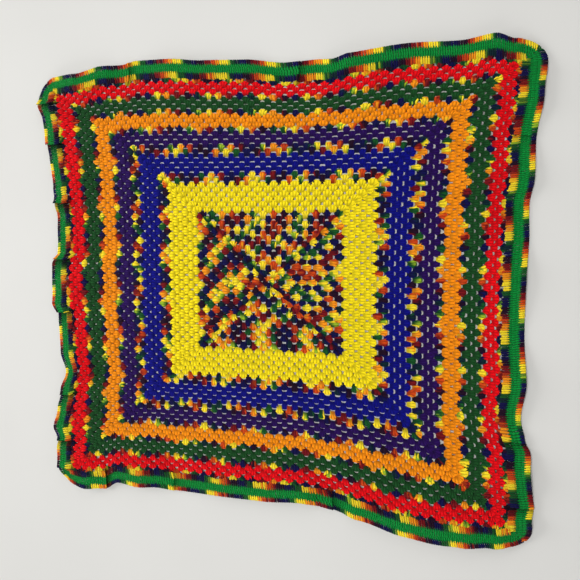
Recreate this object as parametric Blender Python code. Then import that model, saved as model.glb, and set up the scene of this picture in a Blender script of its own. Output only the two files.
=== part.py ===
"""Granny square blanket, laid out on a flat surface.

One piece of crochet: a square field worked in rounds from the middle, and a dense edging
worked on around it. The whole is one closed sheet. Its underside lies flat at z = 0 under
the inner rounds, and the outer rounds and the edging rise in soft waves and creases.

Places on the blanket are given in pattern coordinates (u, v), counted in rounds from the
middle: u to the right, v to the top. The function lay() gives their place in metres.
"""

import bpy
import numpy as np
from mathutils import Vector
from mathutils.geometry import delaunay_2d_cdt

# ---------------------------------------------------------------- driving dimensions

MM = 0.001
THICKNESS = 5.0 * MM            # worsted yarn worked in clusters
FIELD_ROUNDS = 44.0             # rounds of clusters, from the middle to the edging
EDGING_ROUNDS = 3.0             # the edging's depth, counted in rounds of the field
RIM = FIELD_ROUNDS + EDGING_ROUNDS
MIDDLE = (3.0 * MM, 11.0 * MM)  # first round's place, before the box is centred

# How each side of the field lies: a round's height near the middle, the share by which
# rounds are squeezed together at the edge, how suddenly that comes, and the edging's width.
SIDES = {
    # side      round height  squeeze  power  edging width
    "right": (13.12 * MM, 0.065, 4, 49 * MM),
    "left": (13.25 * MM, 0.030, 4, 40 * MM),
    "top": (12.25 * MM, 0.100, 2, 43 * MM),
    "bottom": (12.05 * MM, 0.045, 4, 41 * MM),
}

# How far each corner of the field is drawn out past the sides, along x and along y.
CORNER_PULL = {
    # (side of u, side of v): (x, y)
    (-1, 1): (30 * MM, 11 * MM),
    (1, 1): (34 * MM, 2 * MM),
    (1, -1): (40 * MM, 34 * MM),
    (-1, -1): (12 * MM, 26 * MM),
}

# Places where the whole cloth has shifted sideways: centre, reach, shift.
SWAYS = (
    # u, v, reach (rounds), x, y
    (27, -36, 13, 0, -14 * MM),     # low sag towards the lower right corner
    (-24, 40, 16, 0, 10 * MM),      # upper left stretch, pulled up
    (8, 42, 10, 0, -9 * MM),        # dip in the middle of the top
)

# Waves of the rim. Each row is a crest or a crease: its place along the side in rounds,
# how far the rim sways out of the side's line, and how high it stands, both in mm.
WAVES = {
    "left": (
        # along, out, up
        (-47, -12, 0), (-43, -5, 14), (-38.5, 5, 6), (-36, 3, 0), (-33, 12, 10), (-29, -4, 15),
        (-24.5, -7, 0), (-20, -34, 16), (-16, -16, 13), (-8, -2, 0), (-5.5, 10, 6),
        (-1, 4, 14), (2.8, 13, 0), (5.3, -17, 8), (9, -16, 8), (13, -22, 12), (15.6, -6, 0),
        (17.2, -17, 8), (19, -16, 12), (26, -12, 12), (30, 0, 0), (36, -6, 14), (40, 9, 6),
        (42.5, 2, 0), (47, -16, 8),
    ),
    "right": (
        (-47, -20, 0), (-42, -14, 12), (-38.5, -4, 0), (-32, -4, 15), (-28.5, 0, 8),
        (-26, -10, 0), (-22.5, -16, 6), (-16, -2, 10), (-8, -5, 0), (2, -4, 9),
        (8, -2, 0), (15, -7, 0), (19, -2, 8), (28, -8, 0), (34, -5, 9), (40, -10, 9),
        (47, -16, 0),
    ),
    "top": (
        (-47, -20, 5), (-38, -16, 14), (-32, -1, 8), (-28, -1, 0), (-25, 7, 0),
        (-18, 5, 9), (-12, -1, 8), (-4, -2, 6), (3, -10, 0), (8.5, -7, 0),
        (11, -11, 8), (14, -3, 10), (23, 3, 7), (32, -2, 8), (38, 6, 10),
        (42, -8, 8), (47, -20, 0),
    ),
    "bottom": (
        (-47, -6, 0), (-40, 11, 12), (-35.5, 11, 0), (-32, -9, 8), (-27, -1, 12),
        (-23, -2, 6), (-19, 4, 0), (-8, 4, 10), (-1, 3, 11), (6, -6, 12), (11, 0, 0),
        (16, 12, 8), (24, 26, 12), (29, 28, 13), (34, 23, 14), (40, 11, 9), (47, -10, 0),
    ),
}
SWAY_POWER = 4                  # how quickly the rim's sway dies away inwards
WAVE_FROM = 33.0                # no wave lifts the rounds inside this one
WAVE_FULL = 46.5                # the waves are at full height from here out

# Creases and soft ridges that run on into the field: two ends, half width, rise in mm.
FOLDS = (
    # u, v, to u, to v, half width, rise
    (-46, 46, -38, 38, 2.6, -9),    # the corner's diagonal crease, upper left
    (47, -25, 39, -27, 2.4, -5),    # from the notch in the right side
    (11, -47, 13, -38, 2.4, -6),    # from the crease in the lower side
    (37, 22, 40, 10, 3.0, 6),       # low ridges beside the right side's troughs
    (37, 30, 41, 40, 3.2, 5),
    (36, -34, 43, -36, 3.4, 6),
)

# Gaps between the clusters, cut through where they are widest: in every second round of
# the open bands, and every second one along it.
GAP_ROUNDS = (24, 26, 28, 30, 32)
GAP_HALF_LENGTH = 0.48          # along the round, in rounds
GAP_HALF_WIDTH = 0.25           # across it
GAP_DEPTH = 0.62                # how far below the round's outer edge a gap's middle lies

# Mesh lines around the sheet: the round, and how many wave stations are stepped over.
LINES = (
    # round, step
    (47.0, 1),
    (46.24, 1),
    (44.74, 1),
    (43.0, 1),
    (40.0, 2),
    (36.0, 3),
    (32.0, 6),
    (22.0, 12),
    (14.0, 12),
)
STEPS_PER_WAVE = 3              # stations from one crest or crease to the next

# Yarns of the bands, from the middle outwards: last round, name, colour.
BANDS = (
    (14, "variegated", (0.16, 0.07, 0.05)),
    (20, "yellow", (0.92, 0.70, 0.02)),
    (22, "variegated", (0.16, 0.07, 0.05)),
    (26, "blue", (0.02, 0.03, 0.28)),
    (28, "variegated", (0.16, 0.07, 0.05)),
    (31, "purple", (0.05, 0.015, 0.14)),
    (32, "variegated", (0.16, 0.07, 0.05)),
    (35, "orange", (0.95, 0.28, 0.01)),
    (36, "variegated", (0.16, 0.07, 0.05)),
    (39, "dark green", (0.015, 0.08, 0.03)),
    (40, "variegated", (0.16, 0.07, 0.05)),
    (43, "red", (0.80, 0.01, 0.02)),
    (44.74, "variegated", (0.16, 0.07, 0.05)),
    (46.24, "green", (0.01, 0.22, 0.05)),
    (47, "variegated", (0.16, 0.07, 0.05)),
)
YARN_ROUGHNESS = 0.85


# ---------------------------------------------------------------- how the cloth lies

def ease(t):
    """0 to 1 with level ends."""
    t = np.clip(t, 0.0, 1.0)
    return t * t * (3.0 - 2.0 * t)


def side_reach(rounds, side):
    """Distance from the middle to a round, on one side."""
    height, squeeze, power, edging = SIDES[side]
    field = np.minimum(rounds, FIELD_ROUNDS)
    beyond = np.maximum(rounds - FIELD_ROUNDS, 0.0) / EDGING_ROUNDS
    return height * field * (1.0 - squeeze * (field / FIELD_ROUNDS) ** power) + edging * beyond


def rim_wave(along, side):
    """Sway and height of one side's rim, in metres, eased from each wave row to the next."""
    rows = np.array(WAVES[side], float)
    row = np.clip(np.searchsorted(rows[:, 0], along) - 1, 0, len(rows) - 2)
    start, end = rows[row], rows[row + 1]
    t = ease((along - start[..., 0]) / (end[..., 0] - start[..., 0]))
    sway = start[..., 1] + (end[..., 1] - start[..., 1]) * t
    height = start[..., 2] + (end[..., 2] - start[..., 2]) * t
    return sway * MM, height * MM


def two_sides(sign, along, plus, minus):
    """The rim wave of the side that a point lies on, for one axis."""
    sway_plus, height_plus = rim_wave(along, plus)
    sway_minus, height_minus = rim_wave(along, minus)
    return np.where(sign > 0, sway_plus, sway_minus), np.where(sign > 0, height_plus, height_minus)


def round_corner(a, b):
    """Turns the edging's square corner cell into a quarter circle."""
    past_a = np.maximum(a - FIELD_ROUNDS, 0.0)
    past_b = np.maximum(b - FIELD_ROUNDS, 0.0)
    length = np.maximum(np.hypot(past_a, past_b), 1e-9)
    in_corner = (past_a > 0) & (past_b > 0)
    shrink = np.where(in_corner, np.maximum(past_a, past_b) / length, 1.0)
    return np.minimum(a, FIELD_ROUNDS) + past_a * shrink, np.minimum(b, FIELD_ROUNDS) + past_b * shrink


def fold_height(u, v):
    """Sum of the creases and ridges, each with a rounded section that ends at its width."""
    height = np.zeros_like(u)
    for u0, v0, u1, v1, half_width, rise in FOLDS:
        along = (u1 - u0, v1 - v0)
        t = ((u - u0) * along[0] + (v - v0) * along[1]) / (along[0] ** 2 + along[1] ** 2)
        t = np.clip(t, 0.0, 1.0)
        away = np.hypot(u - u0 - t * along[0], v - v0 - t * along[1])
        height += rise * MM * ease(1.0 - away / (2.0 * half_width))
    return height


def lay(u, v):
    """Place of the underside at pattern coordinates u, v: arrays of x, y and z."""
    sign_u = np.where(u < 0, -1.0, 1.0)
    sign_v = np.where(v < 0, -1.0, 1.0)
    a, b = round_corner(np.abs(u), np.abs(v))
    x = MIDDLE[0] + np.where(u < 0, -side_reach(a, "left"), side_reach(a, "right"))
    y = MIDDLE[1] + np.where(v < 0, -side_reach(b, "bottom"), side_reach(b, "top"))
    share_a = a / FIELD_ROUNDS
    share_b = b / FIELD_ROUNDS
    for (corner_u, corner_v), (pull_x, pull_y) in CORNER_PULL.items():
        here = (sign_u == corner_u) & (sign_v == corner_v)
        x += here * corner_u * pull_x * share_a * share_b ** 2
        y += here * corner_v * pull_y * share_b * share_a ** 2
    u, v = sign_u * a, sign_v * b
    for centre_u, centre_v, reach, shift_x, shift_y in SWAYS:
        near = np.exp(-((u - centre_u) ** 2 + (v - centre_v) ** 2) / reach ** 2)
        x += shift_x * near
        y += shift_y * near
    sway_x, height_x = two_sides(sign_u, v, "right", "left")
    sway_y, height_y = two_sides(sign_v, u, "top", "bottom")
    x += sign_u * sway_x * (a / RIM) ** SWAY_POWER
    y += sign_v * sway_y * (b / RIM) ** SWAY_POWER
    lift_x = height_x * ease((a - WAVE_FROM) / (WAVE_FULL - WAVE_FROM))
    lift_y = height_y * ease((b - WAVE_FROM) / (WAVE_FULL - WAVE_FROM))
    z = np.hypot(lift_x, lift_y) + fold_height(u, v)
    return x, y, np.maximum(z, 0.0)


# ---------------------------------------------------------------- the flat pattern

def side_stations(side):
    """Places along one side's rim, in rounds, a few from each wave row to the next."""
    along = [row[0] for row in WAVES[side]]
    places = []
    for start, end in zip(along, along[1:]):
        places += [start + (end - start) * step / STEPS_PER_WAVE for step in range(STEPS_PER_WAVE)]
    return places


def line_loop(round_number, step):
    """Points of one square line around the pattern, anticlockwise from the lower left."""
    scale = round_number / RIM
    bottom = [(s * scale, -round_number) for s in side_stations("bottom")[::step]]
    right = [(round_number, s * scale) for s in side_stations("right")[::step]]
    top = [(-s * scale, round_number) for s in mirrored_stations("top")[::step]]
    left = [(-round_number, -s * scale) for s in mirrored_stations("left")[::step]]
    return bottom + right + top + left


def mirrored_stations(side):
    """The same places in the other direction, starting at the side's far end."""
    ends = side_stations(side) + [RIM]
    return [-s for s in reversed(ends)][:-1]


def gap_loops():
    """Kite-shaped gaps, four points each, on the four sides of each open round."""
    loops = []
    for number in GAP_ROUNDS:
        across = number - GAP_DEPTH
        for along in range(2 - number, number - 1, 4):
            kite = (
                (along - GAP_HALF_LENGTH, across),
                (along, across - GAP_HALF_WIDTH),
                (along + GAP_HALF_LENGTH, across),
                (along, across + GAP_HALF_WIDTH),
            )
            loops.append([(s, r) for s, r in kite])
            loops.append([(r, -s) for s, r in kite])
            loops.append([(-s, -r) for s, r in kite])
            loops.append([(-r, s) for s, r in kite])
    return loops


def flat_pattern():
    """Triangles of the flat pattern, with its gaps left out: points and faces."""
    points = []
    edges = []
    loops = [line_loop(number, step) for number, step in LINES] + gap_loops()
    gap_of = {}
    for index, loop in enumerate(loops):
        first = len(points)
        points += [Vector(p) for p in loop]
        count = len(loop)
        edges += [(first + i, first + (i + 1) % count) for i in range(count)]
        if index >= len(LINES):
            gap_of.update({first + i: index for i in range(count)})
    corners, _, faces, origins, _, _ = delaunay_2d_cdt(points, edges, [], 1, 1e-5)
    gap = [gap_of.get(origin[0], -1) if origin else -1 for origin in origins]
    kept = [f for f in faces if gap[f[0]] < 0 or len({gap[i] for i in f}) > 1]
    return np.array([(p.x, p.y) for p in corners]), kept


# ---------------------------------------------------------------- the solid

def band_of(radius):
    """Index of the band that a round belongs to."""
    return next((i for i, band in enumerate(BANDS) if radius <= band[0]), len(BANDS) - 1)


def yarn_material(name, colour):
    material = bpy.data.materials.new(name)
    material.use_nodes = True
    material.diffuse_color = (*colour, 1.0)
    shader = material.node_tree.nodes["Principled BSDF"]
    shader.inputs["Base Color"].default_value = (*colour, 1.0)
    shader.inputs["Roughness"].default_value = YARN_ROUGHNESS
    shader.inputs["Metallic"].default_value = 0.0
    return material


def build_blanket():
    """The underside as a mesh, in its yarns, given its thickness upwards."""
    pattern, faces = flat_pattern()
    x, y, z = lay(pattern[:, 0].copy(), pattern[:, 1].copy())
    x -= (x.min() + x.max()) / 2.0
    y -= (y.min() + y.max()) / 2.0
    mesh = bpy.data.meshes.new("blanket")
    mesh.from_pydata(np.stack([x, y, z], axis=1).tolist(), [], faces)
    slots = {}
    for _, name, colour in BANDS:
        if name not in slots:
            slots[name] = len(slots)
            mesh.materials.append(yarn_material(name + " yarn", colour))
    radius = np.abs(pattern).max(axis=1)
    for polygon in mesh.polygons:
        band = band_of(radius[list(polygon.vertices)].mean())
        polygon.material_index = slots[BANDS[band][1]]
    mesh.update()
    blanket = bpy.data.objects.new("blanket", mesh)
    bpy.context.scene.collection.objects.link(blanket)
    cloth = blanket.modifiers.new("cloth", "SOLIDIFY")
    cloth.thickness = THICKNESS
    cloth.offset = 1.0
    cloth.use_even_offset = True
    return blanket


for old in list(bpy.data.objects):
    bpy.data.objects.remove(old, do_unlink=True)
build_blanket()
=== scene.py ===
# Granny square blanket laid out on a pale floor: every cluster and every edging stitch is worked as yarn.
import math

import bpy
import numpy as np
from mathutils import Matrix, Vector


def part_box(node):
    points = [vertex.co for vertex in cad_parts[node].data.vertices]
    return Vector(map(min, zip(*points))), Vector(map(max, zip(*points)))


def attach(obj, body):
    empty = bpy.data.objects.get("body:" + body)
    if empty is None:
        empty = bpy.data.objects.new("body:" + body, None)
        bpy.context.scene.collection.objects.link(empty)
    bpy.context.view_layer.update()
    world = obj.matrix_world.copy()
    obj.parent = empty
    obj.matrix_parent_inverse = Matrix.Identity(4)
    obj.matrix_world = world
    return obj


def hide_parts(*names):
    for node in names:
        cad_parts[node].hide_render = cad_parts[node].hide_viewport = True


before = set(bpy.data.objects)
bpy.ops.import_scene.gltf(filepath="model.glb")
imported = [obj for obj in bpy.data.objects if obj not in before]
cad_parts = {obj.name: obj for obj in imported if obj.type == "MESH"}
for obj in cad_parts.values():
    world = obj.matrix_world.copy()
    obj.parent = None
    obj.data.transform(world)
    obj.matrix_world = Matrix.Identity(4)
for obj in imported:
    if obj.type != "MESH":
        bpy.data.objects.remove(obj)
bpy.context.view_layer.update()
mm = 0.001
rng = np.random.default_rng(12)

# The blanket's own measures, and how it lies. Places are in rounds from the middle: u to the right, v up.
blanket = {
    "fieldRounds": 44.0,
    "edgingRounds": 3.0,                     # depth of the edging, counted in rounds of the field
    "middle": (3 * mm, 11 * mm),
    "lowest": 0.1 * mm,                      # no yarn lies lower than this
    "swayPower": 4,                          # how quickly the rim's sway dies away inwards
    "waveFrom": 33.0,                        # the rim's waves start at this round
    "waveFull": 46.5,                        # and are at full height from here out
    "sides": {                               # round height, squeeze at the edge, its power, edging width
        "right": (13.12 * mm, 0.065, 4, 49 * mm),
        "left": (13.25 * mm, 0.030, 4, 40 * mm),
        "top": (12.25 * mm, 0.100, 2, 43 * mm),
        "bottom": (12.05 * mm, 0.045, 4, 41 * mm),
    },
    "cornerPull": {                          # how far each corner is drawn out, along x and y
        (-1, 1): (30 * mm, 11 * mm),
        (1, 1): (34 * mm, 2 * mm),
        (1, -1): (40 * mm, 34 * mm),
        (-1, -1): (12 * mm, 26 * mm),
    },
    "sways": (                               # u, v, reach in rounds, shift along x and y
        (27, -36, 13, 0, -14 * mm),
        (-24, 40, 16, 0, 10 * mm),
        (8, 42, 10, 0, -9 * mm),
    ),
}

# Crests and creases of the rim: place along the side in rounds, sway outwards and height in mm.
waves = {
    "left": (
        (-47, -12, 0), (-43, -5, 14), (-38.5, 5, 6), (-36, 3, 0), (-33, 12, 10), (-29, -4, 15),
        (-24.5, -7, 0), (-20, -34, 16), (-16, -16, 13), (-8, -2, 0), (-5.5, 10, 6),
        (-1, 4, 14), (2.8, 13, 0), (5.3, -17, 8), (9, -16, 8), (13, -22, 12), (15.6, -6, 0),
        (17.2, -17, 8), (19, -16, 12), (26, -12, 12), (30, 0, 0), (36, -6, 14), (40, 9, 6),
        (42.5, 2, 0), (47, -16, 8),
    ),
    "right": (
        (-47, -20, 0), (-42, -14, 12), (-38.5, -4, 0), (-32, -4, 15), (-28.5, 0, 8),
        (-26, -10, 0), (-22.5, -16, 6), (-16, -2, 10), (-8, -5, 0), (2, -4, 9),
        (8, -2, 0), (15, -7, 0), (19, -2, 8), (28, -8, 0), (34, -5, 9), (40, -10, 9),
        (47, -16, 0),
    ),
    "top": (
        (-47, -20, 5), (-38, -16, 14), (-32, -1, 8), (-28, -1, 0), (-25, 7, 0),
        (-18, 5, 9), (-12, -1, 8), (-4, -2, 6), (3, -10, 0), (8.5, -7, 0),
        (11, -11, 8), (14, -3, 10), (23, 3, 7), (32, -2, 8), (38, 6, 10),
        (42, -8, 8), (47, -20, 0),
    ),
    "bottom": (
        (-47, -6, 0), (-40, 11, 12), (-35.5, 11, 0), (-32, -9, 8), (-27, -1, 12),
        (-23, -2, 6), (-19, 4, 0), (-8, 4, 10), (-1, 3, 11), (6, -6, 12), (11, 0, 0),
        (16, 12, 8), (24, 26, 12), (29, 28, 13), (34, 23, 14), (40, 11, 9), (47, -10, 0),
    ),
}

# Creases and soft ridges that run on into the field: u, v to u, v, half width, rise in mm.
folds = (
    (-46, 46, -38, 38, 2.6, -9),
    (47, -25, 39, -27, 2.4, -5),
    (11, -47, 13, -38, 2.4, -6),
    (37, 22, 40, 10, 3.0, 6),
    (37, 30, 41, 40, 3.2, 5),
    (36, -34, 43, -36, 3.4, 6),
)

# Sharp folds of the edging: side, place along it, reach of the part that lies under (its sign tells which way
# it runs from the fold), rise of the part on top in mm, how far that part rolls over, and how dark the
# painted shadow beneath it is
tucks = (
    ("left", 41, -4, 6, 0.2, 1.3),
    ("left", 30, -5, 8, 0.1, 1.4),
    ("left", 16.5, -4, 8, 0.1, 1.4),
    ("left", 4.4, -4, 8, 0.1, 1.4),
    ("left", -7, -4, 6, 0.5, 1.3),
    ("left", -25, -4, 6, 0.0, 1.3),
    ("left", -36, -4, 8, 0.1, 1.4),
    ("left", -43, -3, 5, 0.2, 1.3),
    ("top", -27, 2.5, 3, 0.0, 0.9),
    ("top", 5, 3, 3, 0.0, 0.7),
    ("bottom", -35.5, 3, 6, 0.2, 1.3),
    ("bottom", -20, 3, 3, 0.0, 0.8),
    ("bottom", 11, 3, 4, 0.1, 0.9),
    ("right", 28, -3, 2, 0.0, 0.6),
    ("right", -26, -3, 6, 0.2, 0.8),
    ("right", -38.5, -3, 5, 0.3, 1.1),
)

# What the sharp folds and the edging's inner side do to the stitches near them, with the shadows painted on
# them.
rim = {
    "tuckFrom": 41.5,                        # the sharp folds die away inwards from the edging to this round
    "tuckOver": 0.7,                         # how far the part on top is drawn over the fold, in rounds
    "tuckRoll": 0.6,                         # how much a full roll takes from the power of the edging's depth
    "edgeShadowAt": 44.0,                         # painted shadow line along the edging's inner side: its round,
    "edgeShadowHalf": 0.8,                        # half width,
    "edgeShadowDark": 0.50,                       # darkness,
    "edgeShadowFull": 1.5,                        # and how soon the darkness is full
    "darkMost": 1.5,                         # no painted fold or edging shadow is darker than this
    "out": (0.25, 0.0, 0.0, -0.30),          # how many rounds further out the last one lies on each side,
    "outFrom": 20,                           # growing from this round on,
    "outCorner": 9,                          # and dying away over so many rounds towards a corner
}


# 0 to 1 with level ends: three t squared less two t cubed
def ease(t):
    t = np.clip(t, 0.0, 1.0)
    return t * t * (3.0 - 2.0 * t)


# distance from the middle to a round: height times rounds, less a share that grows with the round's power
def sideReach(rounds, side):
    height, squeeze, power, width = blanket["sides"][side]
    field = np.minimum(rounds, blanket["fieldRounds"])
    beyond = np.maximum(rounds - blanket["fieldRounds"], 0.0) / blanket["edgingRounds"]
    return height * field * (1.0 - squeeze * (field / blanket["fieldRounds"]) ** power) + width * beyond


# sway and height of one side's rim, eased from each crest or crease to the next
def rimWave(along, side):
    rows = np.array(waves[side], float)
    row = np.clip(np.searchsorted(rows[:, 0], along) - 1, 0, len(rows) - 2)
    start, end = rows[row], rows[row + 1]
    t = ease((along - start[..., 0]) / (end[..., 0] - start[..., 0]))
    return (start[..., 1] + (end[..., 1] - start[..., 1]) * t) * mm, \
        (start[..., 2] + (end[..., 2] - start[..., 2]) * t) * mm


# the rim wave of the side on which a point lies
def twoSides(sign, along, plus, minus):
    swayPlus, highPlus = rimWave(along, plus)
    swayMinus, highMinus = rimWave(along, minus)
    return np.where(sign > 0, swayPlus, swayMinus), np.where(sign > 0, highPlus, highMinus)


# the edging's square corner becomes a quarter circle: both overhangs shrink by larger over length
def roundCorner(a, b):
    field = blanket["fieldRounds"]
    pastA = np.maximum(a - field, 0.0)
    pastB = np.maximum(b - field, 0.0)
    length = np.maximum(np.hypot(pastA, pastB), 1e-9)
    shrink = np.where((pastA > 0) & (pastB > 0), np.maximum(pastA, pastB) / length, 1.0)
    return np.minimum(a, field) + pastA * shrink, np.minimum(b, field) + pastB * shrink


# creases and ridges: each rises by its height times the ease of how near a point is to its line
def foldHeight(u, v):
    height = np.zeros_like(u)
    for u0, v0, u1, v1, halfWidth, rise in folds:
        du, dv = u1 - u0, v1 - v0
        t = np.clip(((u - u0) * du + (v - v0) * dv) / (du * du + dv * dv), 0.0, 1.0)
        away = np.hypot(u - u0 - t * du, v - v0 - t * dv)
        height += rise * mm * ease(1.0 - away / (2.0 * halfWidth))
    return height


# place of the cloth's underside at u, v: each side's reach, plus corner pull, sways and rim waves
def lay(u, v):
    signU = np.where(u < 0, -1.0, 1.0)
    signV = np.where(v < 0, -1.0, 1.0)
    a, b = roundCorner(np.abs(u), np.abs(v))
    x = blanket["middle"][0] + np.where(u < 0, -sideReach(a, "left"), sideReach(a, "right"))
    y = blanket["middle"][1] + np.where(v < 0, -sideReach(b, "bottom"), sideReach(b, "top"))
    shareA, shareB = a / blanket["fieldRounds"], b / blanket["fieldRounds"]
    for (cornerU, cornerV), (pullX, pullY) in blanket["cornerPull"].items():
        here = (signU == cornerU) & (signV == cornerV)
        x += here * cornerU * pullX * shareA * shareB ** 2
        y += here * cornerV * pullY * shareB * shareA ** 2
    u, v = signU * a, signV * b
    for u0, v0, reach, dx, dy in blanket["sways"]:
        near = np.exp(-((u - u0) ** 2 + (v - v0) ** 2) / reach ** 2)
        x += dx * near
        y += dy * near
    swayX, highX = twoSides(signU, v, "right", "left")
    swayY, highY = twoSides(signV, u, "top", "bottom")
    last = blanket["fieldRounds"] + blanket["edgingRounds"]
    x += signU * swayX * (a / last) ** blanket["swayPower"]
    y += signV * swayY * (b / last) ** blanket["swayPower"]
    span = blanket["waveFull"] - blanket["waveFrom"]
    liftX = highX * ease((a - blanket["waveFrom"]) / span)
    liftY = highY * ease((b - blanket["waveFrom"]) / span)
    z = np.hypot(liftX, liftY) + foldHeight(u, v)
    return x, y, np.maximum(z, 0.0)


# the solid's box is centred on the origin, so the pattern is shifted by the middle of its rim's box
def findShift():
    last = blanket["fieldRounds"] + blanket["edgingRounds"]
    s = np.linspace(-last, last, 600)
    r = np.full_like(s, last)
    x, y, _ = lay(np.concatenate([s, s, r, -r]), np.concatenate([r, -r, s, s]))
    low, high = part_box("blanket")
    return ((low[0] + high[0] - x.min() - x.max()) / 2, (low[1] + high[1] - y.min() - y.max()) / 2)


shift = findShift()

sideNames = ("right", "top", "left", "bottom")
sideTurn = np.array([1, -1, -1, 1])          # s runs this way along x or y on each side


# how the sharp folds move a place: the part on top is lifted, drawn over the fold and rolled outwards, so
# that its share of the edging's depth is raised to a power under one; the part beneath it gets a painted
# shadow. Each effect is the ease of one less the distance from the fold over the reach; a line of painted
# shadow also runs along the edging's inner side
def foldEdge(side, s, r):
    field, depth = blanket["fieldRounds"], blanket["edgingRounds"]
    along = s * sideTurn[side]
    weight = ease((r - rim["tuckFrom"]) / (field + 1 - rim["tuckFrom"]))
    lift, moved, power, paintedShadow = (np.zeros(np.broadcast(side, s, r).shape) for _ in range(4))
    for name, fold, reach, rise, roll, shadow in tucks:
        here = side == sideNames.index(name)
        away = (along - fold) * np.sign(-reach)                     # above 0 on top, below 0 beneath
        top = here * (away > 0) * ease(1 - away / abs(reach))
        under = here * (away <= 0) * ease(1 + away / abs(reach))
        lift = lift + rise * mm * top * weight
        moved = moved - np.sign(-reach) * rim["tuckOver"] * top * weight
        power = power + roll * top
        # painted shadow on the part beneath each fold
        paintedShadow = paintedShadow + shadow * under * weight
    # painted shadow of the raised edging, as a line along its inner side
    near = 1 - np.abs(r - rim["edgeShadowAt"]) / rim["edgeShadowHalf"]
    paintedShadow = paintedShadow + rim["edgeShadowDark"] * ease(rim["edgeShadowFull"] * near)
    share = np.clip((r - field) / depth, 1e-6, 1)
    rolled = np.where(r > field, field + depth * share ** (1 - rim["tuckRoll"] * np.minimum(power, 1)), r)
    out = ease((r - rim["outFrom"]) / (field - rim["outFrom"])) * np.clip((field + depth - r) / depth, 0, 1)
    rolled = rolled + np.array(rim["out"])[side] * out * ease((r - np.abs(s)) / rim["outCorner"])
    return s + moved * sideTurn[side], rolled, lift, np.minimum(paintedShadow, rim["darkMost"])


# a place on one of the four sides, s along it anticlockwise and r outwards in rounds, z up from the cloth
def place(side, s, r, z):
    s, r, lift, _ = foldEdge(side, s, r)
    u = np.choose(side, [r, -s, -r, s])
    v = np.choose(side, [s, r, -s, -r])
    x, y, base = lay(u, v)
    return np.stack([x + shift[0], y + shift[1], np.maximum(base + lift + z, blanket["lowest"])], axis=-1)


# closed tubes along paths in the cloth: s, r, z (tubes, rings), half widths across and up, some sides round
# each. A ring's point is the path's, plus cos times the half width across the path, plus sin times the one up
def tubes(side, s, r, z, across, up, sides):
    ds, dr = np.gradient(s, axis=1), np.gradient(r, axis=1)
    size = np.maximum(np.hypot(ds, dr), 1e-9)
    angle = np.arange(sides) * (2 * np.pi / sides) + np.pi / 2
    cos, sin = np.cos(angle), np.sin(angle)
    ps = s[..., None] + (dr / size * across)[..., None] * cos
    pr = r[..., None] - (ds / size * across)[..., None] * cos
    return place(np.broadcast_to(side[:, None, None], ps.shape), ps, pr, z[..., None] + up[..., None] * sin)


# one mesh from many closed tubes of the same make. Each part has points (tubes, rings, sides, 3), dye, chance
# shade, and the painted shade of each point in crevices, under folds and beside the edging; the UV map holds
# the length along a tube in metres, and the turn around it in strands
def tubeMesh(name, parts, material):
    co, loopVerts, loopStart, uv, dye, shade, paintedShade = [], [], [], [], [], [], []
    first = start = 0
    for part in parts:
        points = part["points"]
        count, rings, sides, _ = points.shape
        index = first + np.arange(count * rings * sides).reshape(count, rings, sides)
        turned = np.roll(index, -1, axis=2)
        quads = np.stack([index[:, :-1], turned[:, :-1], turned[:, 1:], index[:, 1:]], axis=-1)
        middle = points.mean(axis=2)
        step = np.linalg.norm(np.diff(middle, axis=1), axis=-1)
        length = np.concatenate([np.zeros((count, 1)), np.cumsum(step, axis=1)], axis=1)
        turn = np.arange(sides) * part["strands"] / sides
        along = np.broadcast_to(length[:, :, None], index.shape)
        low, high = along[:, :-1], along[:, 1:]
        turnLow = np.broadcast_to(turn, low.shape)
        turnHigh = turnLow + part["strands"] / sides
        quadUv = np.stack([low, turnLow, low, turnHigh, high, turnHigh, high, turnLow], axis=-1)
        caps = np.concatenate([index[:, 0, ::-1], index[:, -1]])
        capUv = np.stack([np.concatenate([along[:, 0], along[:, -1]]),
                          np.broadcast_to(turn, (2 * count, sides))], axis=-1)
        co.append(points.reshape(-1, 3))
        loopVerts += [quads.reshape(-1), caps.reshape(-1)]
        uv += [quadUv.reshape(-1, 2), capUv.reshape(-1, 2)]
        quadCount = quads.size // 4
        loopStart.append(start + np.arange(quadCount) * 4)
        start += quadCount * 4
        loopStart.append(start + np.arange(len(caps)) * sides)
        start += caps.size
        dye.append(np.broadcast_to(part["dye"], index.shape).reshape(-1))
        shade.append(np.broadcast_to(part["shade"][:, None, None], index.shape).reshape(-1))
        paintedShade.append(np.broadcast_to(part["paintedShade"], index.shape).reshape(-1))
        first += index.size
    mesh = bpy.data.meshes.new(name)
    co, loopVerts = np.concatenate(co), np.concatenate(loopVerts)
    mesh.vertices.add(len(co))
    mesh.vertices.foreach_set("co", co.astype(np.float32).ravel())
    mesh.loops.add(len(loopVerts))
    mesh.loops.foreach_set("vertex_index", loopVerts.astype(np.int32))
    loopStart = np.concatenate(loopStart)
    mesh.polygons.add(len(loopStart))
    mesh.polygons.foreach_set("loop_start", loopStart.astype(np.int32))
    mesh.update(calc_edges=True)
    mesh.uv_layers.new(name="strand").data.foreach_set("uv", np.concatenate(uv).astype(np.float32).ravel())
    # the painted shade of crevices and folds goes to the mesh as an attribute, beside the dye and the chance
    # shade
    for label, values in (("dye", dye), ("shade", shade), ("paintedShade", paintedShade)):
        attribute = mesh.attributes.new(label, "FLOAT", "POINT")
        attribute.data.foreach_set("value", np.concatenate(values).astype(np.float32))
    mesh.shade_smooth()
    mesh.materials.append(material)
    piece = bpy.data.objects.new(name, mesh)
    bpy.context.scene.collection.objects.link(piece)
    return piece


# a colour given in screen values, 0 to 255, as the linear values that shaders take
def linear(r, g, b):
    return tuple((c / 255 / 12.92 if c < 10.4 else ((c / 255 + 0.055) / 1.055) ** 2.4) for c in (r, g, b))


# links by name, so that a material reads as a list of what feeds what
def link(tree, source, output, target, entry):
    tree.links.new(source.outputs[output], target.inputs[entry])


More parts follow.
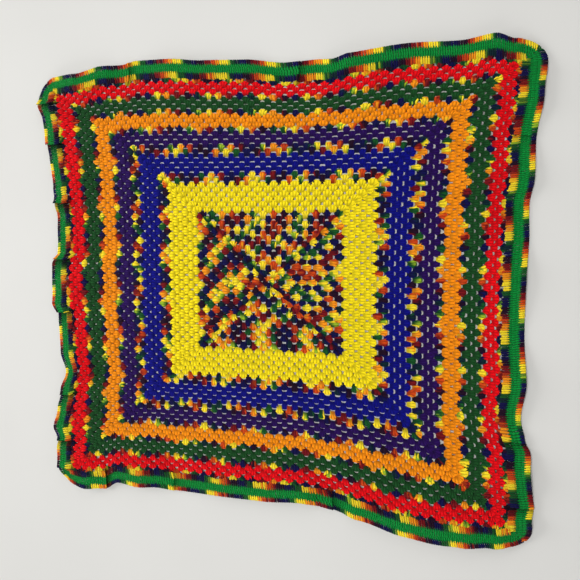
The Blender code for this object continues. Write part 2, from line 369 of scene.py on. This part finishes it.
# a maths node: the operation on a and b, each of them a number or another node's output
def mathNode(tree, operation, a, b=None):
    node = tree.nodes.new("ShaderNodeMath")
    node.operation = operation
    for slot, value in enumerate((a, b)):
        if isinstance(value, (int, float)):
            node.inputs[slot].default_value = value
        elif value is not None:
            tree.links.new(value, node.inputs[slot])
    return node.outputs[0]


# How all the yarns look.
yarnLook = {
    "paintedGrooveShade": 0.24,                      # painted shade: how much darker the grooves between the plies are
    "paintedCreviceShade": 0.62,                     # painted shade: how much darker the yarn is deep between the stitches
    "fuzz": 0.30,                            # how much the loose hairs change its brightness
    "hairScale": 900.0,                      # how fine they are,
    "hairDetail": 2.0,
    "hairHigh": 0.5,                         # and how high, against the plies
    "driftScale": 16.0,                      # the dye's slow drift: its scale,
    "driftDetail": 3.0,
    "drift": 0.14,                           # and how much it changes the brightness
    "ownShade": 0.03,                        # how much lighter or darker single clusters are
    "rough": (0.65, 0.25),                   # the least roughness, and how much the hairs add
    "twistLength": 2.6 * mm,
    "plies": 1.0,
    "bump": 0.55,
    "bumpDepth": 0.6 * mm,
    "sheen": 0.02,
    "sheenRough": 0.5,
    "gloss": 0.08,
    "colours": {
        "yellow": (255, 229, 24),
        "blue": (8, 11, 128),
        "purple": (41, 9, 87),
        "orange": (255, 148, 14),
        "darkGreen": (24, 76, 33),
        "red": (238, 6, 20),
        "green": (4, 138, 54),
    },
    # the dyed yarn's colours in the order in which they follow each other, and the share of each
    "variegated": (
        (0.17, (255, 226, 44)),
        (0.12, (250, 152, 26)),
        (0.09, (206, 70, 20)),
        (0.12, (122, 16, 24)),
        (0.14, (34, 7, 34)),
        (0.15, (13, 12, 72)),
        (0.08, (7, 38, 46)),
        (0.10, (20, 84, 36)),
        (0.03, (150, 184, 44)),
    ),
    "dyeBleed": 0.014,                       # how far neighbouring colours run into each other
}


# plied yarn: diagonal grooves between the plies, loose hairs, and a slow drift of the dye, with painted shade
# in the grooves and in crevices
def makeYarnGroup():
    group = bpy.data.node_groups.new("pliedYarn", "ShaderNodeTree")
    for way, colour, numbers in (
            ("INPUT", "Colour", ("Plies", "Twist Length", "Painted Groove Shade", "Painted Crevice Shade", "Fuzz")),
            ("OUTPUT", "Colour", ("Roughness", "Height"))):
        group.interface.new_socket(colour, in_out=way, socket_type="NodeSocketColor")
        for name in numbers:
            group.interface.new_socket(name, in_out=way, socket_type="NodeSocketFloat")
    nodes = group.nodes
    entry, result = nodes.new("NodeGroupInput"), nodes.new("NodeGroupOutput")
    strand = nodes.new("ShaderNodeUVMap")
    strand.uv_map = "strand"
    split = nodes.new("ShaderNodeSeparateXYZ")
    group.links.new(strand.outputs["UV"], split.inputs[0])
    run = mathNode(group, "DIVIDE", split.outputs["X"], entry.outputs["Twist Length"])
    turn = mathNode(group, "MULTIPLY", split.outputs["Y"], entry.outputs["Plies"])
    angle = mathNode(group, "MULTIPLY", mathNode(group, "ADD", run, turn), 2 * math.pi)
    wave = mathNode(group, "SINE", angle)
    ply = mathNode(group, "MULTIPLY", mathNode(group, "ADD", wave, 1.0), 0.5)
    where = nodes.new("ShaderNodeTexCoord")
    hairs = nodes.new("ShaderNodeTexNoise")
    hairs.inputs["Scale"].default_value = yarnLook["hairScale"]
    hairs.inputs["Detail"].default_value = yarnLook["hairDetail"]
    link(group, where, "Object", hairs, "Vector")
    drift = nodes.new("ShaderNodeTexNoise")
    drift.inputs["Scale"].default_value = yarnLook["driftScale"]
    drift.inputs["Detail"].default_value = yarnLook["driftDetail"]
    link(group, where, "Object", drift, "Vector")
    lot = nodes.new("ShaderNodeAttribute")
    lot.attribute_name = "shade"
    # brightness: one, less the painted shade in the ply grooves, plus hairs, drift and each strand's own
    # shade
    low = mathNode(group, "SUBTRACT", 0.5, ply)
    grooveShade = mathNode(group, "MULTIPLY", low, entry.outputs["Painted Groove Shade"])
    hair = mathNode(group, "SUBTRACT", hairs.outputs["Fac"], 0.5)
    hair = mathNode(group, "MULTIPLY", hair, entry.outputs["Fuzz"])
    slow = mathNode(group, "SUBTRACT", drift.outputs["Fac"], 0.5)
    slow = mathNode(group, "MULTIPLY", slow, yarnLook["drift"])
    own = mathNode(group, "MULTIPLY", lot.outputs["Fac"], yarnLook["ownShade"])
    bright = mathNode(group, "SUBTRACT", 1.0, grooveShade)
    for part in (hair, slow, own):
        bright = mathNode(group, "ADD", bright, part)
    # painted shade: the brightness is cut by the crevice attribute times its strength
    paintedShadeNode = nodes.new("ShaderNodeAttribute")
    paintedShadeNode.attribute_name = "paintedShade"
    shadeTaken = mathNode(group, "MULTIPLY", paintedShadeNode.outputs["Fac"], entry.outputs["Painted Crevice Shade"])
    bright = mathNode(group, "MULTIPLY", bright, mathNode(group, "SUBTRACT", 1.0, shadeTaken))
    scale = nodes.new("ShaderNodeVectorMath")
    scale.operation = "SCALE"
    group.links.new(entry.outputs["Colour"], scale.inputs[0])
    group.links.new(bright, scale.inputs["Scale"])
    link(group, scale, "Vector", result, "Colour")
    least, more = yarnLook["rough"]
    rough = mathNode(group, "ADD", mathNode(group, "MULTIPLY", hairs.outputs["Fac"], more), least)
    group.links.new(rough, result.inputs["Roughness"])
    high = mathNode(group, "MULTIPLY", hairs.outputs["Fac"], yarnLook["hairHigh"])
    group.links.new(mathNode(group, "ADD", ply, high), result.inputs["Height"])
    return group


yarnGroup = makeYarnGroup()


# one yarn: plied yarn in its own colour, or in the dyed yarn's colours by the fraction of the dye attribute
def makeYarn(name):
    material = bpy.data.materials.new(name + "Yarn")
    material.use_nodes = True
    tree = material.node_tree
    shader = tree.nodes["Principled BSDF"]
    shader.inputs["Sheen Weight"].default_value = yarnLook["sheen"]
    shader.inputs["Sheen Roughness"].default_value = yarnLook["sheenRough"]
    shader.inputs["Specular IOR Level"].default_value = yarnLook["gloss"]
    plied = tree.nodes.new("ShaderNodeGroup")
    plied.node_tree = yarnGroup
    plied.inputs["Plies"].default_value = yarnLook["plies"]
    plied.inputs["Twist Length"].default_value = yarnLook["twistLength"]
    # painted shade in the ply grooves
    plied.inputs["Painted Groove Shade"].default_value = yarnLook["paintedGrooveShade"]
    plied.inputs["Fuzz"].default_value = yarnLook["fuzz"]
    # painted shade in crevices, under folds and beside the edging
    plied.inputs["Painted Crevice Shade"].default_value = yarnLook["paintedCreviceShade"]
    if name == "variegated":
        dye = tree.nodes.new("ShaderNodeAttribute")
        dye.attribute_name = "dye"
        loop = mathNode(tree, "FRACT", dye.outputs["Fac"])
        ramp = tree.nodes.new("ShaderNodeValToRGB")
        # each colour holds its share of the repeat, and runs into the next over the bleed
        stops, start, bleed = [], 0.0, yarnLook["dyeBleed"]
        for share, colour in yarnLook["variegated"]:
            stops += [(start + bleed, colour), (start + share - bleed, colour)]
            start += share
        elements = ramp.color_ramp.elements
        for number, (position, colour) in enumerate(stops):
            if number == 0:
                element = elements[0]
            elif number == len(stops) - 1:
                element = elements[-1]
            else:
                element = elements.new(position)
            element.position = position
            element.color = (*linear(*colour), 1)
        tree.links.new(loop, ramp.inputs["Fac"])
        link(tree, ramp, "Color", plied, "Colour")
    else:
        plied.inputs["Colour"].default_value = (*linear(*yarnLook["colours"][name]), 1)
    bump = tree.nodes.new("ShaderNodeBump")
    bump.inputs["Strength"].default_value = yarnLook["bump"]
    bump.inputs["Distance"].default_value = yarnLook["bumpDepth"]
    link(tree, plied, "Colour", shader, "Base Color")
    link(tree, plied, "Roughness", shader, "Roughness")
    link(tree, plied, "Height", bump, "Height")
    link(tree, bump, "Normal", shader, "Normal")
    return material


yarns = {name: makeYarn(name) for name in (*yarnLook["colours"], "variegated")}


# The field: clusters of three posts, closed on top by a row of loops. Lengths are in rounds, heights in mm.
cluster = {
    "ringAt": (0, 0.25, 0.52, 0.80, 1),      # where a cluster is measured, from foot to head
    "foot": 0.59,                            # how far it starts below its round, on the right and left,
    "levelFoot": 0.63,                       # on the top and lower side, whose gaps are long and low,
    "closedFoot": 0.26,                      # and in close work
    "head": 0.12,                            # and how far it passes the round's outer edge
    # half widths in open work on the right and left, on the top and lower side, and in close work
    "uprightWidth": (0.52, 0.58, 0.61, 0.91, 0.71),
    "levelWidth": (0.58, 0.56, 0.53, 0.90, 0.72),
    "closedWidth": (0.44, 0.72, 0.92, 0.90, 0.60),
    "skirt": (0.10, 0.14, 0.08, 0.06, 0.03),  # how far low fuzz reaches past that, where no gap shows
    "skirtUp": -0.55,                        # at what height, as a share of the thickness,
    "skirtUnder": -0.9,                      # and the height of the underside
    "closedShadeCut": 0.25,                     # share of the painted shade between clusters that close work lacks
    "cornerClose": 0.04,                     # the work closes towards a corner over this share of the round
    "sideOpen": (1.4, 1.6, 0.6, 1.35),       # times the openness: on the right, top, left and lower side
    "up": (1.0, 1.45, 1.7, 1.5, 0.75),       # its half thickness
    "high": (2.8, 2.7, 2.6, 2.5, 2.1),       # height of its middle over the cloth's underside
    "highSpread": 0.25,                      # and the chance part of that
    "sizeSpread": 0.04,                      # chance part of its width and thickness,
    "singleSpread": 0.08,                    # and in a single round of another yarn
    "wobble": 0.06,                          # chance shift of a cluster,
    "singleWobble": 0.12,                    # and in a single round
    "valley": 0.08,                          # height of the grooves between its posts, as a share of its own
    "valleyShade": 0.85,                      # painted shade in them, where 1 is the gap between clusters
    "underShade": 0.3,                        # painted shade on the underside
    "footShade": (1.0, 0.85, 0.25, 0, 0.2),   # painted shade on its edges between the neighbours, foot to head
    "bulge": 0.28,                           # how far its middle post stands past the outer ones at the head,
    "cornerBulge": 0.5,                      # the share of that in a corner,
    "lobe": 0.03,                            # and how far each post's middle stands past its edges there
    "cornerPast": 0.10,                      # how far a side's last cluster passes the diagonal,
    "cornerTurn": 0.22,                      # and how much more on the side from which the round is worked
    "cornerShort": 0.70,                     # the share of its foot that it lacks
    "cornerLean": 0.10,                      # and how much wider it is on the other side
    "least": 0.12,                           # no cluster starts nearer to the middle
    "loopReach": 0.86,                       # the loops' half length along the round
    "loopBulge": 0.10,                       # how far their middle passes the round's edge
    "loopDrop": 0.30,                        # how far their ends lie inwards of the middle
    "loopCorner": 0.2,                       # and in a corner
    "loopAcross": (0.06, 0.085, 0.095, 0.085, 0.06),
    "loopUp": (0.8, 1.0, 1.0, 1.0, 0.8),
    "loopHigh": (2.0, 2.8, 3.0, 2.8, 2.0),
    "loopSpread": 0.2,                       # the chance part of their height
    "loopShade": (0.0, 0.3, 0.8, 0.8, 0.3),   # painted shade on their top, sides and underside
    "shadowIn": 0.4,                         # a fold's painted shadow is taken this far inside the round's edge
    "strands": 3.75,                         # strands of yarn around a cluster,
    "loopStrands": 2,                        # and around a loop or a single round's post
    "topPoints": 12,                         # points across the tops of the posts
    # a single round's posts, seen over the round before: how far they run inwards, how much further by chance
    # the foot lies, their chance shift along the round, half widths across and up, and height
    "stemRun": (0.5, 0.9, 1.15, 1.2),
    "stemMore": (0, 0, 0, 0.5),
    "stemShift": 0.12,
    "stemAcross": (0.15, 0.13, 0.11, 0.07),
    "stemUp": (0.9, 0.9, 0.8, 0.6),
    "stemHigh": (3.2, 4.2, 4.0, 2.8),
    "dyeRepeat": 4.6,                        # clusters in one repeat of the variegated yarn
    "dyeWander": 0.05,                       # chance change of the dye's place from one cluster to the next
    "dyePost": 0.20,                         # its change from post to post, in clusters
    "dyeHead": 0.22,                         # and from a post's foot to its head
    "dyeChance": 0.12,                       # and the chance part of each post
}


# a cluster's section, from its left edge beneath the posts to its right edge and back over them: each post's
# top is an arc, the valley plus the root of one less the square of the place across the post
def clusterSection():
    top = np.linspace(1, -1, cluster["topPoints"] + 1)[:-1]
    within = (top * 3 + 1) % 2 - 1                                  # -1 to 1 across each of three posts
    arc = np.sqrt(1 - within ** 2)
    up = cluster["valley"] + (1 - cluster["valley"]) * arc
    # painted shade: dark in the valleys between the posts, full at both edges, and some on the underside
    paintedShade = cluster["valleyShade"] * (1 - arc)
    up[0], paintedShade[0] = cluster["skirtUp"], 1                          # the right edge
    across = np.concatenate([(-1, -0.5, 0.5), top])
    skirt = np.where(np.abs(across) == 1, across, 0)
    up = np.concatenate([(cluster["skirtUp"], cluster["skirtUnder"], cluster["skirtUnder"]), up])
    paintedShade = np.concatenate([(1, cluster["underShade"], cluster["underShade"]), paintedShade])
    lobe = np.concatenate([(0, 0, 0), arc])
    post = np.clip(np.round(across * 1.5), -1, 1)
    return across, up, paintedShade, skirt, lobe, post


sectionAcross, sectionUp, sectionShade, sectionSkirt, sectionLobe, sectionPost = clusterSection()


# bands from the middle outwards: name, first and last round, yarn, and how open the work is
bands = (
    ("centre", 1, 14, "variegated", 0.56),
    ("yellowBand", 15, 20, "yellow", 0.16),
    ("variegatedBand1", 21, 22, "variegated", 0.7),
    ("blueBand", 23, 26, "blue", 0.85),
    ("variegatedBand2", 27, 28, "variegated", 0.8),
    ("purpleBand", 29, 31, "purple", 0.75),
    ("variegatedBand3", 32, 32, "variegated", 0.6),
    ("orangeBand", 33, 35, "orange", 0.05),
    ("variegatedBand4", 36, 36, "variegated", 0.4),
    ("darkGreenBand", 37, 39, "darkGreen", 0.58),
    ("variegatedBand5", 40, 40, "variegated", 0.45),
    ("redBand", 41, 43, "red", 0.50),
    ("variegatedBand6", 44, 44, "variegated", 0.25),
)


# where every cluster of some rounds stands: side, s, round, its number in order of working, and which way it
# was worked. The work is turned after each round, so every second one runs back the other way
def clusterPlaces(first, last):
    side, s, rounds, order, way = [], [], [], [], []
    for n in range(first, last + 1):
        turned = n % 2 == 0
        for k in range(4):
            number = k * n + np.arange(n)
            side.append(np.full(n, k))
            s.append(np.arange(1 - n, n, 2.0))
            rounds.append(np.full(n, float(n)))
            order.append(2.0 * n * (n - 1) + (4 * n - 1 - number if turned else number))
            way.append(np.full(n, -1.0 if turned else 1.0))
    return tuple(np.concatenate(x) for x in (side, s, rounds, order, way))


clusterCount = int(2 * blanket["fieldRounds"] * (blanket["fieldRounds"] + 1))
dyeDrift = np.cumsum(rng.normal(0, cluster["dyeWander"], clusterCount))


# where along the dyed yarn a cluster falls: its number over the repeat, plus a chance drift that adds up
def dyePhase(order):
    return order / cluster["dyeRepeat"] + dyeDrift[order.astype(int)]


# clusters fan out from a narrow foot to a wide head: the edges are plus and minus the half width, the section
# runs between them, and a side's last cluster leans into the corner. Loops and single posts follow parabolas
def makeBand(name, first, last, yarn, openness):
    side, s, n, order, way = clusterPlaces(first, last)
    count = len(side)
    closing = ease((n - np.abs(s)) / (cluster["cornerClose"] * n + 1))
    opened = (np.minimum(openness * np.array(cluster["sideOpen"])[side], 1) * closing)[:, None]
    single = first == last
    wobble = cluster["singleWobble" if single else "wobble"]
    spread = cluster["singleSpread" if single else "sizeSpread"]
    shiftS = rng.normal(0, wobble, count)[:, None]
    shiftR = rng.normal(0, wobble, count)[:, None]
    shade = rng.normal(0, 1, count)
    size = rng.normal(1, spread, count)[:, None]
    t = np.array(cluster["ringAt"])
    closed = np.array(cluster["closedWidth"])
    level = (side % 2 == 1)[:, None]                                # on the top and lower side
    wide = np.where(level, cluster["levelWidth"], cluster["uprightWidth"])
    width = size * (closed + opened * (wide - closed))
    foot = np.where(level, cluster["levelFoot"], cluster["foot"])
    foot = cluster["closedFoot"] + opened * (foot - cluster["closedFoot"])
    span = 1 + foot + cluster["head"]
    corner = {-1: (s < 2 - n)[:, None], 1: (s > n - 2)[:, None]}    # a side's first and last cluster
    late = (corner[1] | corner[-1]) * cluster["cornerShort"] * foot
    pr = (n - 1)[:, None] - foot + late + (span - late + shiftR) * t
    edge = {}
    for end in (-1, 1):
        past = cluster["cornerPast"] + (way * end * cluster["cornerTurn"])[:, None]
        diagonal = np.minimum(width, pr - s[:, None] * end + past)
        edge[end] = end * np.where(corner[end], diagonal, width + corner[-end] * cluster["cornerLean"])
    share = (sectionAcross + 1) / 2
    skirt = np.array(cluster["skirt"]) * (1 - opened)
    ps = (s[:, None] + shiftS * t + edge[-1])[..., None] + (edge[1] - edge[-1])[..., None] * share
    ps += skirt[..., None] * sectionSkirt
    drop = np.where(corner[1] | corner[-1], cluster["cornerBulge"], 1.0) * cluster["bulge"] * t * t
    lobe = (cluster["lobe"] * t ** 4)[:, None] * sectionLobe
    pr = np.maximum(pr, cluster["least"])[..., None] - drop[..., None] * sectionAcross ** 2 + lobe
    thick = np.array(cluster["up"]) * mm * size
    rise = rng.normal(0, cluster["highSpread"] * mm, count)[:, None] + np.array(cluster["high"]) * mm
    pz = rise[..., None] + thick[..., None] * sectionUp
    phase = dyePhase(order)[:, None, None]
    perCluster = 1 / cluster["dyeRepeat"]
    dyeAcross = (way * cluster["dyePost"] * perCluster)[:, None, None]
    chance = rng.normal(0, cluster["dyeChance"] * perCluster, (count, 1, 3))
    chance = chance[..., sectionPost.astype(int) + 1]
    dyeUp = (cluster["dyeHead"] * perCluster * (t - 0.5))[:, None]
    # painted shade between the clusters and at their feet, less in close work, besides that of the posts'
    # valleys
    gapShade = np.maximum(np.abs(sectionAcross) == 1, np.array(cluster["footShade"])[:, None])
    gapShade = gapShade * (1 - cluster["closedShadeCut"] * (1 - opened))[..., None]
    sides = np.broadcast_to(side[:, None, None], ps.shape)
    # painted shadow from the folds, taken just inside the round
    shadow = foldEdge(side, s, n - cluster["shadowIn"])[3][:, None, None]
    body = {"points": place(sides, ps, pr, pz), "strands": cluster["strands"],
            "dye": phase + sectionPost * dyeAcross + chance + dyeUp, "shade": shade,
            "paintedShade": np.maximum(np.maximum(gapShade, np.where(sectionShade < 1, sectionShade, 0)), shadow)}
    x = np.linspace(-1, 1, len(cluster["loopAcross"]))
    ps = s[:, None] + shiftS + cluster["loopReach"] * x
    outer = (corner[1] & (x > 0)) | (corner[-1] & (x < 0))
    drop = np.where(outer, cluster["loopCorner"], cluster["loopDrop"])
    pr = (n + cluster["loopBulge"])[:, None] + shiftR - drop * x * x
    ps = np.clip(ps, -pr, pr)
    across = np.array(cluster["loopAcross"]) * size
    up = np.array(cluster["loopUp"]) * mm * size
    high = rng.normal(0, cluster["loopSpread"] * mm, count)[:, None] + np.array(cluster["loopHigh"]) * mm
    # painted shade on the loops, or the folds' painted shadow where that is darker
    paintedShade = np.maximum(np.array(cluster["loopShade"]), shadow)
    around = len(cluster["loopShade"])
    loops = {"points": tubes(side, ps, pr, high, across, up, around), "strands": cluster["loopStrands"],
             "dye": phase + x[:, None] * dyeAcross, "shade": shade, "paintedShade": paintedShade}
    parts = [body]
    if last < blanket["fieldRounds"]:        # the edging covers the last round's loops
        parts.append(loops)
    if single:
        run = np.array(cluster["stemRun"]) + np.array(cluster["stemMore"]) * rng.random((count, 1))
        pr = n[:, None] - run
        ps = s[:, None] + shiftS + rng.normal(0, cluster["stemShift"], count)[:, None]
        ps = np.clip(ps, -pr, pr)
        across = np.array(cluster["stemAcross"]) * size
        up = np.array(cluster["stemUp"]) * mm * size
        high = np.broadcast_to(np.array(cluster["stemHigh"]) * mm, ps.shape)
        dye = phase + rng.normal(0, cluster["dyeChance"] * perCluster, (count, 1, 1))
        stems = tubes(side, ps, pr, high, across, up, around)
        parts.append({"points": stems, "strands": cluster["loopStrands"], "dye": dye, "shade": shade,
                      "paintedShade": paintedShade})
    return tubeMesh(name, parts, yarns[yarn])


fieldPieces = []
for name, first, last, yarn, openness in bands:
    piece = makeBand(name, first, last, yarn, openness)
    fieldPieces.append(piece)
    print("band", name, "faces", len(piece.data.polygons))


# The edging: five rounds of short plain stitches. Lengths are in rounds of the field.
edging = {
    "rows": (0, 0.66, 1.22, 1.78, 2.34, 3.0),  # where its rounds begin and end, past the field
    "pitch": 0.40,                           # from stitch to stitch
    "start": (0.25, 0.75),                   # where each even and odd round begins, in stitches
    "strands": 2,                            # strands of yarn around a stitch
    "overlap": 0.05,                         # how far a stitch runs into the rounds beside it
    "comb": 0.03,                            # every second green stitch runs this far over the next yarn
    "tooth": 0.18,                           # the outer rounds' stitches run this far over the green ones,
    "toothSpread": (0.6, 1.2),               # times this by chance, with a pointed end that lies on top
    "toothWidth": 0.08,
    "toothRise": 1.6 * mm,
    "spike": 0.30,                           # how far the first round's stitches run down into the field,
    "spikeSpread": (0.2, 1.8),               # times this by chance,
    "spikeRise": 1.0 * mm,                   # over the clusters there, which they hide
    "lean": (-0.10, -0.03, 0.03, 0.10),      # a stitch's slant along the edge, foot to head
    "rise": (0, 0.24, 0.76, 1),              # and its run across the edge, as a share of its length
    "shift": (0.015, 0.02),                  # chance part of its place along and across the edge
    "across": (0.190, 0.210, 0.210, 0.190),
    "up": (0.7, 1.0, 1.0, 0.7),
    "high": (2.4, 3.2, 3.2, 2.4),
    "highSpread": 0.15,
    "paintedShade": (0.0, 0.8, 1.0, 1.0, 0.8),       # painted shade on a stitch's top, sides and underside
    "fringeShade": (0.0, 0.6, 1.0, 1.0, 0.6),  # the same in the first and last round
    "dyeRepeat": 22.0,                       # stitches in one repeat of the variegated yarn
    "dyeStray": 0.6,                         # how many stitches early or late its colours come
    "dyeRow": 7.3,                           # and how many further on each round starts
}

# its strips from the field outwards: name, first round, the round after the last, and yarn
edgingStrips = (
    ("edgingInner", 0, 1, "variegated"),
    ("edgingGreen", 1, 4, "green"),
    ("edgingOuter", 4, 5, "variegated"),
)


# stitches stand side by side along the four sides of each round, half a stitch further on in every second
# one, all with the same slant; the outermost rounds' ends are drawn out over the green ones
def makeEdging(name, first, last, yarn):
    parts = []
    lean, rise = np.array(edging["lean"]), np.array(edging["rise"])
    shiftAlong, shiftOut = edging["shift"]
    # painted shade around each stitch, or the folds' painted shadow where that is darker
    paintedShade = np.array(edging["paintedShade" if yarn == "green" else "fringeShade"])
    for row in range(first, last):
        inner, outer = (blanket["fieldRounds"] + r for r in edging["rows"][row:row + 2])
        half = (inner + outer) / 2
        number = int(round(2 * half / edging["pitch"]))
        at = -half + (np.arange(number) + edging["start"][row % 2]) * 2 * half / number
        side = np.repeat(np.arange(4), number)
        s = np.tile(at, 4)
        count = len(s)
        ps = s[:, None] + lean + rng.normal(0, shiftAlong, count)[:, None]
        run = outer - inner + 2 * edging["overlap"]
        pr = inner - edging["overlap"] + run * rise + rng.normal(0, shiftOut, count)[:, None]
        if yarn == "green":
            longer = edging["comb"] * (np.arange(count) % 2)[:, None]
            pr = pr - longer * (row == first) * (1 - rise) + longer * (row == last - 1) * rise
        high = rng.normal(0, edging["highSpread"] * mm, count)[:, None] + np.array(edging["high"]) * mm
        if row == 0:
            spike = edging["spike"] * rng.uniform(*edging["spikeSpread"], count)[:, None]
            pr = pr - spike * (1 - rise)
            high = high + edging["spikeRise"]
        across = np.tile(edging["across"], (count, 1))
        if yarn != "green":
            tip, way = (-1, 1) if row == 0 else (0, -1)
            pr[:, tip] += way * edging["tooth"] * rng.uniform(*edging["toothSpread"], count)
            high[:, tip] += edging["toothRise"]
            across[:, tip] = edging["toothWidth"]
        up = np.broadcast_to(np.array(edging["up"]) * mm, ps.shape)
        # painted shadow from the folds
        shadow = foldEdge(side[:, None], ps, pr)[3][..., None]
        stray = rng.normal(0, edging["dyeStray"], count)
        dye = (np.arange(count) + row * edging["dyeRow"] + stray) / edging["dyeRepeat"]
        stitches = tubes(side, ps, pr, high, across, up, len(paintedShade))
        parts.append({"points": stitches, "strands": edging["strands"], "dye": dye[:, None, None],
                      "shade": rng.normal(0, 1, count), "paintedShade": np.maximum(paintedShade, shadow)})
    return tubeMesh(name, parts, yarns[yarn])


edgingPieces = []
for name, first, last, yarn in edgingStrips:
    piece = makeEdging(name, first, last, yarn)
    edgingPieces.append(piece)
    print("edging", name, "faces", len(piece.data.polygons))


# each piece rides on the only body, and the solid blanket is hidden in their place
for piece in fieldPieces + edgingPieces:
    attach(piece, "root")
    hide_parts("blanket")

_, first, last, _ = edgingStrips[1]


# Floor, light and camera.
studio = {
    "floorSize": 8.0,
    "floorColour": (212, 211, 207),
    "floorScale": 3.0,                       # its faint mottling: scale,
    "floorShade": (0.97, 1.03),              # darkest and lightest,
    "floorRough": 0.9,
    "clothTop": 0.0045,                      # height of the cloth's top where it lies flat
    "eye": (0.47827, 0.13204, 1.40097),      # camera over the pattern's own origin, at the cloth's top
    "target": (0.058, -0.007, 0.0),
    "lens": 38.0,
    "sensor": 36.0,
    "clip": (0.05, 50.0),
    "fillAt": (0.05, 0.1, 2.6),              # soft light from above
    "fillSize": 0.8,
    "fillPower": 39.0,
    "panels": (                              # low soft light all round: place, power
        ((-4.5, 0.6, 1.2), 235.0),
        ((4.5, 0.3, 1.2), 36.0),
        ((0.3, 4.5, 1.2), 82.0),
        ((-0.3, -4.5, 1.2), 110.0),
    ),
    "panelSize": 3.0,
    "sky": 0.13,
}


# a pale square, whose colour is mixed from a darker and a lighter tone by noise
def makeFloor():
    half = studio["floorSize"] / 2
    corners = [(-half, -half, 0), (half, -half, 0), (half, half, 0), (-half, half, 0)]
    mesh = bpy.data.meshes.new("floor")
    mesh.from_pydata(corners, [], [(0, 1, 2, 3)])
    floor = bpy.data.objects.new("floor", mesh)
    bpy.context.scene.collection.objects.link(floor)
    material = bpy.data.materials.new("floorPaint")
    material.use_nodes = True
    tree = material.node_tree
    shader = tree.nodes["Principled BSDF"]
    noise = tree.nodes.new("ShaderNodeTexNoise")
    noise.inputs["Scale"].default_value = studio["floorScale"]
    where = tree.nodes.new("ShaderNodeTexCoord")
    link(tree, where, "Object", noise, "Vector")
    mix = tree.nodes.new("ShaderNodeMix")
    mix.data_type = "RGBA"
    for entry, shade in zip(("A", "B"), studio["floorShade"]):
        mix.inputs[entry].default_value = (*[min(1, c * shade) for c in linear(*studio["floorColour"])], 1)
    factor = next(socket for socket in mix.inputs if socket.name == "Factor" and socket.type == "VALUE")
    tree.links.new(noise.outputs["Fac"], factor)
    mixed = next(socket for socket in mix.outputs if socket.type == "RGBA")
    tree.links.new(mixed, shader.inputs["Base Color"])
    shader.inputs["Roughness"].default_value = studio["floorRough"]
    mesh.materials.append(material)


# a square soft light: it looks along minus its place, so at the middle of the floor
def makeArea(name, spot, size, power):
    data = bpy.data.lights.new(name, "AREA")
    data.size, data.energy = size, power
    lamp = bpy.data.objects.new(name, data)
    lamp.location = spot
    lamp.rotation_euler = (-Vector(spot)).to_track_quat("-Z", "Y").to_euler()
    bpy.context.scene.collection.objects.link(lamp)


# the camera's axes: away from the target, right across the upright of the pattern, and up from both
def makeCamera():
    over = Vector((shift[0], shift[1], studio["clothTop"]))
    eye = Vector(studio["eye"]) + over
    away = (eye - Vector(studio["target"]) - over).normalized()
    right = Vector((0, 1, 0)).cross(away).normalized()
    up = away.cross(right)
    data = bpy.data.cameras.new("camera")
    data.lens, data.sensor_width = studio["lens"], studio["sensor"]
    data.clip_start, data.clip_end = studio["clip"]
    camera = bpy.data.objects.new("camera", data)
    camera.matrix_world = Matrix.Translation(eye) @ Matrix((right, up, away)).transposed().to_4x4()
    bpy.context.scene.collection.objects.link(camera)
    bpy.context.scene.camera = camera


makeFloor()
makeArea("fill", studio["fillAt"], studio["fillSize"], studio["fillPower"])
for number, (spot, power) in enumerate(studio["panels"]):
    makeArea("panel" + str(number), spot, studio["panelSize"], power)
world = bpy.data.worlds.new("studio")
world.use_nodes = True
backdrop = world.node_tree.nodes["Background"]
backdrop.inputs["Color"].default_value = (1, 1, 1, 1)
backdrop.inputs["Strength"].default_value = studio["sky"]
bpy.context.scene.world = world
bpy.context.scene.view_settings.view_transform = "Standard"
makeCamera()
print("floor, light and camera stand")
